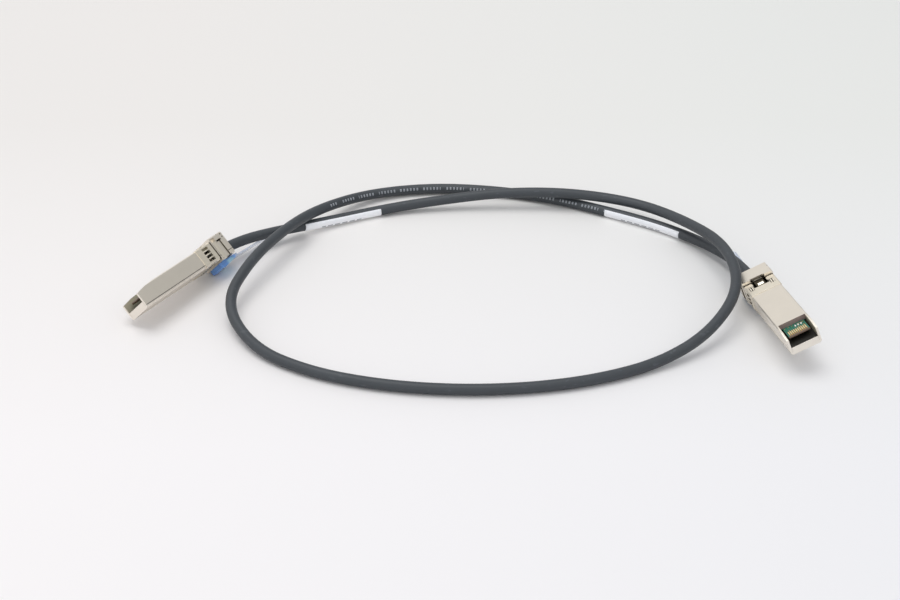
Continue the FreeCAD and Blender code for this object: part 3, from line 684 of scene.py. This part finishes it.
def label_film():
    """White film label: matte, with the grey dashes of a printed line."""
    finish, graph, shader = new_finish("label film")
    line = graph.node("ShaderNodeUVMap", uv_map="wrap").outputs["UV"]
    along, around, _ = graph.split(line)
    grain = grain_of(graph, graph.object_place(), 90.0, 1800.0)
    film = graph.mix(grain["Cloud"], colour(244, 246, 250), colour(252, 253, 255))
    piece = graph.maths("PINGPONG", graph.maths("MULTIPLY", along, 21.0), 1.0)
    dash = graph.chain("MULTIPLY", graph.band(around, 0.26, 0.33, 0.01), graph.band(piece, 0.28, 2.0, 0.06),
                       graph.band(along, 0.22, 0.74, 0.005))
    tone = graph.mix(graph.maths("MULTIPLY", dash, 0.8), film, colour(112, 116, 124))
    complete(graph, shader, tone, by_noise(graph, grain["Grain"], 0.42, 0.55),
             (grain["Cloud"], 0.08, 0.10 * MM))
    return finish


def wire_insulation():
    """Pale insulation of the signal wires: even colour with slight clouding and a fine grain."""
    finish, graph, shader = new_finish("wire insulation")
    grain = grain_of(graph, graph.seat_place(), 0.35, 5.0)
    tone = graph.mix(grain["Cloud"], colour(214, 214, 208), colour(228, 228, 224))
    complete(graph, shader, tone, by_noise(graph, grain["Grain"], 0.29, 0.41),
             (grain["Grain"], 0.15, 0.03 * MM))
    return finish


def board_component():
    """Chip in dark epoxy, and pale ceramic capacitors with tinned ends."""
    finish, graph, shader = new_finish("board components")
    place = graph.seat_place()
    along = graph.split(place)[0]
    grain = grain_of(graph, place, 2.0, 12.0)
    middle = graph.band(along, *CAPACITOR_BODY, 0.03)
    chip = graph.maths("GREATER_THAN", along, CHIP_FROM)
    body = graph.mix(grain["Cloud"], colour(196, 190, 172), colour(220, 216, 204))
    tone = graph.mix(chip, graph.mix(middle, colour(236, 238, 236), body), colour(38, 38, 42))
    tinned = graph.maths("MULTIPLY", graph.maths("SUBTRACT", 1.0, middle),
                         graph.maths("SUBTRACT", 1.0, chip))
    graph.link(graph.maths("MULTIPLY", tinned, 0.7), shader.inputs["Metallic"])
    complete(graph, shader, tone, by_noise(graph, grain["Grain"], 0.26, 0.40))
    return finish


def tab_blue():
    """Translucent blue plastic of the grip, with a highlight painted pale cyan in its middle, and pale
    towards the strap.
    """
    finish, graph, shader = new_finish("tab blue", Transmission_Weight=0.25, IOR=1.46, Coat_Weight=0.4,
                                       Coat_Roughness=0.08)
    place = graph.seat_place()
    along, _, up = graph.split(place)
    grain = grain_of(graph, place, 0.35, 5.0)
    painted_tab_highlight = graph.maths("MULTIPLY", graph.band(along, *TAB_HIGHLIGHT_ALONG, 1.2), graph.band(up, *TAB_HIGHLIGHT_UP, 0.5))
    deep = graph.mix(grain["Cloud"], colour(104, 156, 236), colour(126, 180, 246))
    # Painted highlight: pale cyan in the grip's middle.
    tone = graph.mix(painted_tab_highlight, deep, colour(178, 230, 255))
    tone = graph.mix(graph.band(along, *PALE_ALONG, 0.4), tone, colour(176, 192, 216))
    complete(graph, shader, tone, by_noise(graph, grain["Grain"], 0.16, 0.28),
             (grain["Cloud"], 0.10, 0.05 * MM))
    return finish


def tab_clear():
    """Clear film of the strap, faintly blue, with cloudy tone."""
    finish, graph, shader = new_finish("tab clear", Alpha=0.42, Coat_Weight=0.5, Coat_Roughness=0.1, IOR=1.46)
    grain = grain_of(graph, graph.seat_place(), 0.2, 4.0)
    tone = graph.mix(grain["Cloud"], colour(176, 190, 216), colour(206, 216, 234))
    complete(graph, shader, tone, by_noise(graph, grain["Grain"], 0.12, 0.24))
    return finish


def finish_named(name, maker, *given, **named):
    """The material of that name, made on first use."""
    return bpy.data.materials.get(name) or maker(*given, **named)


def metal_named(name, tone, roughness, **named):
    return finish_named(name, plated_metal, name, colour(*tone), roughness, **named)


def nickel():
    return metal_named("nickel casting", (240, 233, 222), 0.33)


def nickel_edge():
    return metal_named("nickel casting edge", (243, 238, 230), 0.26)


def spring_steel():
    return metal_named("spring steel", (232, 225, 211), 0.46, grain_along=(0.2, 2.0, 2.0), coarse=1.2,
                       bumps=0.02)


def spring_steel_edge():
    return metal_named("spring steel edge", (242, 237, 227), 0.36, bumps=0.02)


# ---------------------------------------------------------------- settings


class CableSettings(bpy.types.PropertyGroup):
    radius: bpy.props.FloatProperty(
        name="Radius", description="Radius of the cable over its jacket", default=2.3 * MM,
        subtype="DISTANCE", unit="LENGTH")
    jacket_shade: bpy.props.FloatVectorProperty(
        name="Jacket shade", description="Darker tone of the jacket, 0 to 255", default=(56, 60, 64), size=3)
    jacket_light: bpy.props.FloatVectorProperty(
        name="Jacket light", description="Lighter tone of the jacket, 0 to 255", default=(66, 71, 76), size=3)
    label_length: bpy.props.FloatProperty(
        name="Label length", description="Length of each label along the cable", default=38 * MM,
        subtype="DISTANCE", unit="LENGTH")
    label_start: bpy.props.FloatProperty(
        name="Label start", description="Distance from the left end of the cable to its label",
        default=45.8 * MM, subtype="DISTANCE", unit="LENGTH")
    label_end: bpy.props.FloatProperty(
        name="Label end", description="Distance from the right end of the cable to its label",
        default=56.4 * MM, subtype="DISTANCE", unit="LENGTH")
    print_turn: bpy.props.FloatProperty(
        name="Print turn", description="Angle at which the printed dashes start round the jacket",
        default=math.radians(-48), subtype="ANGLE", unit="ROTATION")
    label_thick: bpy.props.FloatProperty(
        name="Label thickness", description="Thickness of the label film", default=0.12 * MM,
        subtype="DISTANCE", unit="LENGTH")
    label_low: bpy.props.FloatProperty(
        name="Label back edge", description="Angle of the label's back edge above level",
        default=math.radians(24), subtype="ANGLE", unit="ROTATION")
    label_high: bpy.props.FloatProperty(
        name="Label front edge", description="Angle of the label's front edge above level",
        default=math.radians(46), subtype="ANGLE", unit="ROTATION")


class PlugSettings(bpy.types.PropertyGroup):
    casting_round: bpy.props.FloatProperty(
        name="Casting edge", description="Rounding of the cast edges", default=0.13 * MM,
        subtype="DISTANCE", unit="LENGTH")
    sheet_round: bpy.props.FloatProperty(
        name="Sheet edge", description="Rounding of the stamped edges", default=0.05 * MM,
        subtype="DISTANCE", unit="LENGTH")
    leaf_bend: bpy.props.FloatProperty(
        name="Leaf bend", description="Distance of the leaf spring's bend from the mouth",
        default=41.6 * MM, subtype="DISTANCE", unit="LENGTH")
    leaf_touch: bpy.props.FloatProperty(
        name="Leaf touch", description="Distance at which the leaf spring touches the lever",
        default=44.3 * MM, subtype="DISTANCE", unit="LENGTH")
    screw_at: bpy.props.FloatProperty(
        name="Screw place", description="Distance of the cover screws from the mouth",
        default=55.05 * MM, subtype="DISTANCE", unit="LENGTH")
    screw_spread: bpy.props.FloatProperty(
        name="Screw spread", description="Distance of each cover screw from the plug's middle",
        default=5.3 * MM, subtype="DISTANCE", unit="LENGTH")
    block_top: bpy.props.FloatProperty(
        name="Block top", description="Height of the block's hood side", default=9.6 * MM,
        subtype="DISTANCE", unit="LENGTH")
    grip_back: bpy.props.FloatProperty(
        name="Grip back", description="Distance of the grip's back end from the mouth",
        default=58.7 * MM, subtype="DISTANCE", unit="LENGTH")
    tab_round: bpy.props.FloatProperty(
        name="Tab edge", description="Rounding of the moulded tab", default=0.30 * MM,
        subtype="DISTANCE", unit="LENGTH")


class StageSettings(bpy.types.PropertyGroup):
    floor_size: bpy.props.FloatProperty(
        name="Floor size", description="Side of the square floor", default=6.0,
        subtype="DISTANCE", unit="LENGTH")
    # Painted light: four floor tones, blended across the floor as a falloff of light.
    far_left: bpy.props.FloatVectorProperty(
        name="Far left", description="Floor tone far left, 0 to 255", default=(238, 234, 229), size=3)
    far_right: bpy.props.FloatVectorProperty(
        name="Far right", description="Floor tone far right, 0 to 255", default=(234, 234, 229), size=3)
    near_left: bpy.props.FloatVectorProperty(
        name="Near left", description="Floor tone near left, 0 to 255", default=(250, 246, 244), size=3)
    near_right: bpy.props.FloatVectorProperty(
        name="Near right", description="Floor tone near right, 0 to 255", default=(241, 240, 240), size=3)
    lens: bpy.props.FloatProperty(name="Lens", description="Focal length in millimetres", default=64.0)
    pitch: bpy.props.FloatProperty(
        name="Camera pitch", description="How far the camera looks down", default=math.radians(34.11),
        subtype="ANGLE", unit="ROTATION")
    distance: bpy.props.FloatProperty(
        name="Camera distance", description="Distance from the camera to its target", default=0.6818,
        subtype="DISTANCE", unit="LENGTH")
    target: bpy.props.FloatVectorProperty(
        name="Target", description="Point that the camera looks at", default=(-0.0056, 0.0001, 0.0),
        size=3, subtype="XYZ")


# ---------------------------------------------------------------- operators

# Painted light: the floor is lighter near and to the left and darker far and to the right.
FLOOR_ACROSS = (-0.17, 0.17)  # where the floor goes from its left tone to its right one
FLOOR_AWAY = (-0.10, 0.16)  # where it goes from its near tone to its far one
EVEN_LIGHT = (0.93, 0.95, 1.0, 1.0)
EVEN_STRENGTH = 0.66
SURROUND_LEFT = (1.08, 1.07, 1.05, 1.0)
SURROUND_RIGHT = (0.47, 0.47, 0.46, 1.0)
BACKDROP = (0.86, 0.86, 0.87, 1.0)
LAMPS = (  # name, place, width and power
    ("key lamp", (-0.35, 0.25, 1.75), 1.40, 12.6),
    ("fill lamp", (0.60, -0.60, 0.80), 0.90, 1.0),
)

# Rounding of thinner metal and of the card's pieces, as shares of the sheet's.
LEAF_EDGE = 0.4
CARD_EDGE = 0.5


class DAC_OT_stage(bpy.types.Operator):
    """Pale floor, soft lamps and the camera"""

    bl_idname = "dac.stage"
    bl_label = "Stage"

    def execute(self, context):
        scene = context.scene
        settings = scene.dac_stage
        scene.view_settings.view_transform = "Standard"
        self.make_floor(settings)
        self.make_world(scene)
        self.make_lamps()
        self.make_camera(scene, settings)
        return {"FINISHED"}

    def make_floor(self, settings):
        form = bmesh.new()
        bmesh.ops.create_grid(form, x_segments=8, y_segments=8, size=settings.floor_size / 2)
        floor = mesh_from("floor", form)
        finish, graph, shader = new_finish("pale floor", Specular_IOR_Level=0.25)
        place = graph.object_place()
        along, away, _ = graph.split(place)
        right = graph.remap(along, *FLOOR_ACROSS)
        back = graph.remap(away, *FLOOR_AWAY)
        # Painted light falloff: the corner tones blended across and away.
        near = graph.mix(right, colour(*settings.near_left), colour(*settings.near_right))
        far = graph.mix(right, colour(*settings.far_left), colour(*settings.far_right))
        roughness = by_noise(graph, graph.noise(place, 2.0, 3.0), 0.58, 0.66)
        complete(graph, shader, graph.mix(back, near, far), roughness)
        floor.data.materials.append(finish)

    def make_world(self, scene):
        """Even light, a surround for metal that is dimmer on the right, and a plain backdrop."""
        world = bpy.data.worlds.new("studio")
        scene.world = world
        world.use_nodes = True
        graph = Graph(world.node_tree)
        even = world.node_tree.nodes["Background"]
        even.inputs["Color"].default_value = EVEN_LIGHT
        even.inputs["Strength"].default_value = EVEN_STRENGTH
        toward = graph.split(graph.node("ShaderNodeTexCoord").outputs["Generated"])
        side = graph.remap(toward["X"], -0.30, 0.75)
        front = graph.remap(toward["Y"], 0.80, -0.20, 0.76, 1.25)
        tone = graph.mix(side, SURROUND_LEFT, SURROUND_RIGHT)
        surround = graph.node("ShaderNodeBackground", {"Color": tone, "Strength": front})
        backdrop = graph.node("ShaderNodeBackground", {"Color": BACKDROP})
        path = graph.node("ShaderNodeLightPath").outputs
        plain = graph.maths("MAXIMUM", path["Is Camera Ray"], path["Is Transmission Ray"])
        light = self.between(graph, path["Is Glossy Ray"], even, surround)
        light = self.between(graph, plain, light, backdrop)
        graph.link(light.outputs[0], world.node_tree.nodes["World Output"].inputs["Surface"])

    def between(self, graph, factor, first, second):
        """One shader where the factor is 0 and the other where it is 1."""
        return graph.node("ShaderNodeMixShader", {0: factor, 1: first.outputs[0], 2: second.outputs[0]})

    def make_lamps(self):
        for name, place, width, power in LAMPS:
            lamp = bpy.data.lights.new(name, "AREA")
            lamp.shape = "DISK"
            lamp.size = width
            lamp.energy = power
            holder = bpy.data.objects.new(name, lamp)
            holder.location = place
            holder.rotation_euler = (-Vector(place)).to_track_quat("-Z", "Y").to_euler()
            bpy.context.scene.collection.objects.link(holder)

    def make_camera(self, scene, settings):
        camera = bpy.data.cameras.new("camera")
        camera.lens = settings.lens
        camera.sensor_width = 36.0
        camera.clip_start = 0.01
        holder = bpy.data.objects.new("camera", camera)
        scene.collection.objects.link(holder)
        away = Vector((0.0, -math.cos(settings.pitch), math.sin(settings.pitch)))
        holder.location = Vector(settings.target) + away * settings.distance
        holder.rotation_euler = (math.pi / 2 - settings.pitch, 0.0, 0.0)
        scene.camera = holder


def centre_line():
    """Points along the cable's smooth line, as its NURBS spline gives them."""
    guide = cable_curve("guide", 0.0)
    graph = bpy.context.evaluated_depsgraph_get()
    mesh = bpy.data.meshes.new_from_object(guide.evaluated_get(graph))
    line = [corner.co.copy() for corner in mesh.vertices]
    bpy.data.objects.remove(guide)
    return line


def cable_curve(name, radius):
    curve = bpy.data.curves.new(name, "CURVE")
    curve.dimensions = "3D"
    curve.twist_mode = "Z_UP"
    curve.resolution_u = 16
    curve.bevel_depth = radius
    curve.bevel_resolution = 8
    curve.use_fill_caps = radius > 0
    spline = curve.splines.new("NURBS")
    spline.points.add(len(ROUTE) - 1)
    for point, place in zip(spline.points, ROUTE):
        point.co = (*place, 1.0)
    spline.order_u = 3
    spline.use_endpoint_u = True
    return link(name, curve)


PRINT_LIFT = 0.005 * MM  # how far the dashes lie over the jacket
INK_THICK = 0.02 * MM
LABEL_LIFT = 0.01 * MM
LABEL_STEPS, LABEL_TURNS = 40, 28  # faces of a label along and round the cable


class Line:
    """A measured line: its points, and a frame across it at any distance from its start."""

    def __init__(self, points):
        self.points = points
        self.reach = [0.0]
        for before, after in zip(points, points[1:]):
            self.reach.append(self.reach[-1] + (after - before).length)

    @property
    def length(self):
        return self.reach[-1]

    def at(self, distance):
        """Place, direction, level direction across and upward direction at a distance."""
        index = 0
        while index < len(self.reach) - 2 and self.reach[index + 1] < distance:
            index += 1
        start, end = self.points[index], self.points[index + 1]
        share = (distance - self.reach[index]) / (self.reach[index + 1] - self.reach[index])
        place = start.lerp(end, share)
        before = self.points[max(index - 1, 0)]
        after = self.points[min(index + 2, len(self.points) - 1)]
        direction = ((end - before).normalized().lerp((after - start).normalized(), share)).normalized()
        across = direction.cross(Vector((0.0, 0.0, 1.0))).normalized()
        return place, direction, across, across.cross(direction).normalized()


class DAC_OT_cable(bpy.types.Operator):
    """The cable in its jacket, as one cord between the plugs, with its print and labels"""

    bl_idname = "dac.cable"
    bl_label = "Cable"

    def execute(self, context):
        settings = context.scene.dac_cable
        cable = cable_curve("cable_jacket", settings.radius)
        cable.data.materials.append(jacket_plastic(settings))
        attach(cable, "root")
        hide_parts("cable")
        line = Line(centre_line())
        print("cable line: %.4f m" % line.length)
        pieces = [self.make_print(line, settings)] + make_labels(line, settings)
        return {"FINISHED"}

    def make_print(self, line, settings):
        edges = [(i, i + 1) for i in range(len(line.points) - 1)]
        dashes = points_piece("jacket_print", line.points, edges)
        grow(dashes, tree_named("Jacket print", jacket_print_tree), Radius=settings.radius + PRINT_LIFT,
             Turn=settings.print_turn, Material=finish_named("jacket ink", jacket_ink))
        film = dashes.modifiers.new("Ink film", "SOLIDIFY")
        film.thickness = INK_THICK
        film.offset = 1.0
        flattened(dashes)
        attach(dashes, "root")
        return dashes


def make_labels(line, settings):
    """Film labels wrapped round the lower part of the cable, open along its top."""
    starts = {
        "left": settings.label_start,
        "right": line.length - settings.label_end - settings.label_length,
    }
    return [wrap_label(side, line, starts[side], settings) for side in SIDES]


def wrap_label(side, line, start, settings):
    """One label: a grid of faces bent round the cable, then thickened."""
    inner = settings.radius + LABEL_LIFT
    sweep = math.pi + settings.label_high + settings.label_low
    form = bmesh.new()
    grid = []
    for i in range(LABEL_STEPS + 1):
        place, _, across, up = line.at(start + settings.label_length * i / LABEL_STEPS)
        front = -across if across.y > 0 else across
        row = []
        for j in range(LABEL_TURNS + 1):
            angle = settings.label_high - sweep * j / LABEL_TURNS
            row.append(form.verts.new(place + inner * (front * math.cos(angle) + up * math.sin(angle))))
        grid.append(row)
    wrap = form.loops.layers.uv.new("wrap")
    for i in range(LABEL_STEPS):
        for j in range(LABEL_TURNS):
            face = form.faces.new((grid[i][j], grid[i + 1][j], grid[i + 1][j + 1], grid[i][j + 1]))
            face.smooth = True
            for loop, (u, v) in zip(face.loops, ((i, j), (i + 1, j), (i + 1, j + 1), (i, j + 1))):
                loop[wrap].uv = (u / LABEL_STEPS, v / LABEL_TURNS)
    place = line.at(start)[0]
    first = next(iter(form.faces))
    first.normal_update()
    if first.normal.dot(first.calc_center_median() - place) < 0:
        bmesh.ops.reverse_faces(form, faces=form.faces)
    mesh = bpy.data.meshes.new(side + "_label_film")
    form.to_mesh(mesh)
    form.free()
    label = link(side + "_label_film", mesh)
    wall = label.modifiers.new("Film", "SOLIDIFY")
    wall.thickness = settings.label_thick
    wall.offset = 1.0
    flattened(label)
    label.data.materials.append(finish_named("label film", label_film))
    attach(label, "root")
    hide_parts(side + "_label")
    return label


class DAC_OT_housings(bpy.types.Operator):
    """Cast shells and covers of both plugs, with rounded edges"""

    bl_idname = "dac.housings"
    bl_label = "Housings"

    def execute(self, context):
        settings = context.scene.dac_plug
        for side in SIDES:
            for name in ("plug_shell", "plug_cover"):
                dress_node(side + "_" + name, side, nickel(), nickel_edge(), settings.casting_round)
        return {"FINISHED"}


class DAC_OT_stampings(bpy.types.Operator):
    """Spring-finger collars, release slides, latch levers, leaf springs and crimp rings"""

    bl_idname = "dac.stampings"
    bl_label = "Stampings"

    def execute(self, context):
        settings = context.scene.dac_plug
        pieces = (("emi_collar", "spring_steel"), ("release_slide", "slide_metal"),
                  ("latch_lever", "latch_metal"), ("latch_pin", "screw_steel"),
                  ("crimp_ring", "crimp_metal"))
        for side in SIDES:
            for name, slot in pieces:
                dress_node(side + "_" + name, side, spring_steel(), spring_steel_edge(),
                           settings.sheet_round, segments=1)
            self.make_spring(side, settings)
            self.make_screws(side, settings)
        return {"FINISHED"}

    def make_spring(self, side, settings):
        """Leaf spring that the lever presses on, set in place and carried by no moving body."""
        leaf = dress_node(side + "_latch_spring", side, spring_steel(), spring_steel_edge(),
                          settings.sheet_round * LEAF_EDGE, segments=1, rides=False)
        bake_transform(leaf)

    def make_screws(self, side, settings):
        across = settings.screw_spread / MM
        places = [(settings.screw_at / MM, sign * across, settings.block_top / MM) for sign in (1, -1)]
        screws = points_piece(side + "_screws", places)
        grow(screws, tree_named("Cover screws", screw_tree), Material=spring_steel())
        in_plug(screws, side)
        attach(screws, "root")
        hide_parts(side + "_cover_screws")


# Plated holes in the plug's own frame, in millimetres: two rows, set half a pitch apart.
HOLE_PITCH = 0.8
HOLE_UP = 2.25
HOLE_ROWS = ((9.5, -5.0, 11), (7.35, -4.5, 10))  # along, first hole in pitches from the middle, count


class DAC_OT_cards(bpy.types.Operator):
    """Circuit boards with their contacts, components and wires"""

    bl_idname = "dac.cards"
    bl_label = "Cards"

    def execute(self, context):
        settings = context.scene.dac_plug
        board = circuit_board()
        gold = contact_gold()
        part = board_component()
        wire = wire_insulation()
        finishes = (("paddle_card", board, "card_laminate"), ("card_contacts", gold, "contact_gold"),
                    ("card_parts", part, "card_components"), ("signal_wires", wire, "wire_insulation"))
        width = settings.sheet_round * CARD_EDGE
        for side in SIDES:
            for name, finish, slot in finishes:
                dress_node(side + "_" + name, side, finish, finish, width, segments=1)
            self.make_holes(side, gold)
        return {"FINISHED"}

    def make_holes(self, side, gold):
        """Plated holes behind the contacts, on the face of the card that the mouth shows."""
        places = [(along, HOLE_PITCH * (first + step), HOLE_UP)
                  for along, first, count in HOLE_ROWS for step in range(count)]
        holes = points_piece(side + "_plated_holes", places)
        grow(holes, tree_named("Plated holes", plated_hole_tree), Material=gold)
        in_plug(holes, side)
        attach(holes, "root")


class DAC_OT_tabs(bpy.types.Operator):
    """Blue pull tabs"""

    bl_idname = "dac.tabs"
    bl_label = "Pull tabs"

    def execute(self, context):
        settings = context.scene.dac_plug
        for side in SIDES:
            blue = finish_named("tab blue", tab_blue)
            tab = dress_node(side + "_pull_tab", side, blue, blue, settings.tab_round,
                             segments=3)
            tab.data.materials[1] = finish_named("tab clear", tab_clear)
            back = settings.grip_back / MM
            places = tab.data.attributes["seat"].data
            for face in tab.data.polygons:
                middle = sum(places[corner].vector[0] for corner in face.vertices) / len(face.vertices)
                face.material_index = 1 if middle > back else 0
        return {"FINISHED"}


class DAC_PT_panel(bpy.types.Panel):
    """The steps that build the cable, in order"""

    bl_idname = "DAC_PT_panel"
    bl_label = "Direct Attach Cable"
    bl_space_type = "VIEW_3D"
    bl_region_type = "UI"
    bl_category = "Cable"

    def draw(self, context):
        for step in STEPS:
            self.layout.operator(step.bl_idname)


SETTINGS = (("dac_cable", CableSettings), ("dac_plug", PlugSettings), ("dac_stage", StageSettings))
STEPS = (DAC_OT_stage, DAC_OT_cable, DAC_OT_housings, DAC_OT_stampings, DAC_OT_cards, DAC_OT_tabs)


def register():
    for name, settings in SETTINGS:
        bpy.utils.register_class(settings)
        setattr(bpy.types.Scene, name, bpy.props.PointerProperty(type=settings))
    for step in STEPS:
        bpy.utils.register_class(step)
    bpy.utils.register_class(DAC_PT_panel)


def unregister():
    bpy.utils.unregister_class(DAC_PT_panel)
    for step in reversed(STEPS):
        bpy.utils.unregister_class(step)
    for name, settings in reversed(SETTINGS):
        delattr(bpy.types.Scene, name)
        bpy.utils.unregister_class(settings)


def main():
    register()
    bpy.ops.dac.stage()
    bpy.ops.dac.cable()
    bpy.ops.dac.housings()
    bpy.ops.dac.stampings()
    bpy.ops.dac.cards()
    bpy.ops.dac.tabs()


if __name__ == "__main__":
    main()
